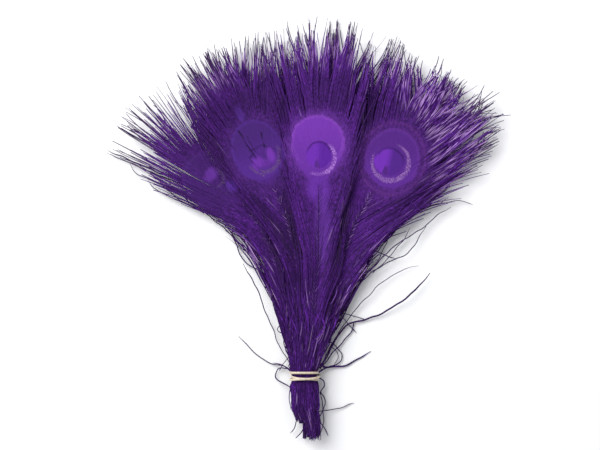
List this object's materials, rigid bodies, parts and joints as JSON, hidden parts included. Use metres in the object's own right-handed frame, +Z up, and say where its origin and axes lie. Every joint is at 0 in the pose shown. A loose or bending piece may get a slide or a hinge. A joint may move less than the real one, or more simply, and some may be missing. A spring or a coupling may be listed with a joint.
{
  "type": "tied bunch of dyed peacock eye feathers",
  "caption": "Flat fan of purple-dyed peacock eye feathers with long loose barbs, their cut stems held together by a rubber band.",
  "frame": {"origin": "middle of the bounding box, on the surface that the bunch lies on", "axes": "+Y from the cut stems to the feather tips, +X across the fan to the right, +Z up from the surface"},
  "size_m": [0.289, 0.303, 0.0188],
  "materials": {
    "feather": "dyed feather barbs, dark purple with violet eyes, soft and matte with fine streaks",
    "band": "cream latex rubber, smooth with a slight gloss"
  },
  "bodies": {
    "root": {"feather_center_back": "feather", "feather_left_back": "feather", "feather_right_back": "feather", "feather_far_left": "feather", "feather_right_front": "feather", "feather_left_front": "feather", "feather_center_front": "feather", "rubber_band": "band"}
  },
  "joints": []
}
